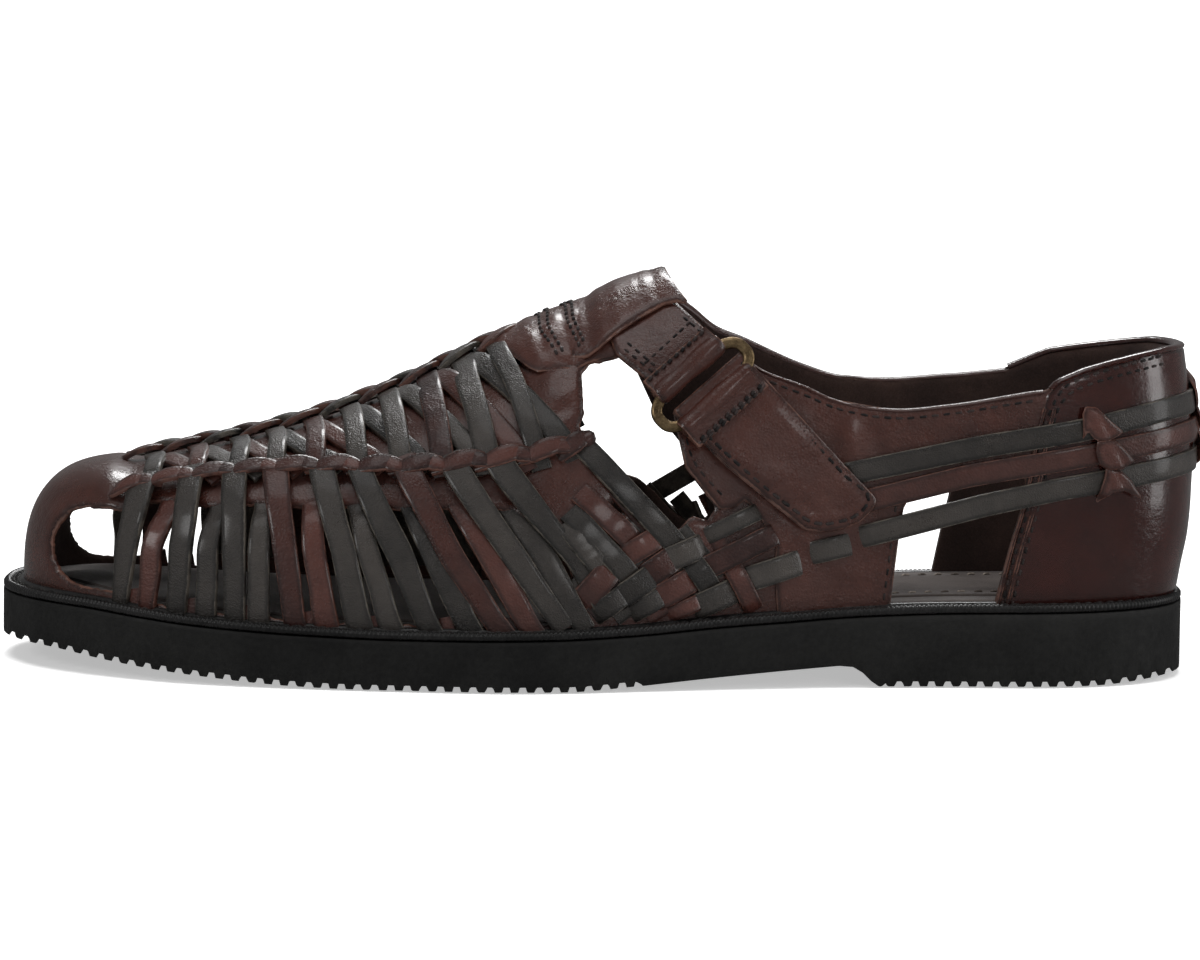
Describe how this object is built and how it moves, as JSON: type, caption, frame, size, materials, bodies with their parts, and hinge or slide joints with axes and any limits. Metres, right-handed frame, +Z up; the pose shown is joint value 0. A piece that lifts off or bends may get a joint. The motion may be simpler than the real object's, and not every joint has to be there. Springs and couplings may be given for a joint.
{
  "type": "huarache sandal",
  "caption": "Men's left fisherman huarache: woven leather vamp with open slots, closed heel, waist windows, ankle strap with ring, low ripple sole.",
  "frame": {"origin": "on the floor, under the middle of the shoe's box", "axes": "+Z up, -X toward the toe, -Y toward the outer (lateral) side"},
  "size_m": [0.3037, 0.1098, 0.1017],
  "materials": {
    "brown_leather": "polished dark brown calf with a high gloss",
    "black_leather": "grained black leather, satin",
    "insole_leather": "dark smooth lining leather",
    "sole_rubber": "matte black foam rubber",
    "welt_rubber": "satin black welt",
    "ring_brass": "antique brass, brushed"
  },
  "bodies": {
    "root": {"outsole": "sole_rubber", "welt": "welt_rubber", "insole": "insole_leather", "upper": "brown_leather", "heel_counter": "brown_leather", "back_straps": "black_leather", "instep_loop": "brown_leather", "ankle_strap": "brown_leather", "ring": "ring_brass", "fastening_strap": "brown_leather"}
  },
  "joints": []
}
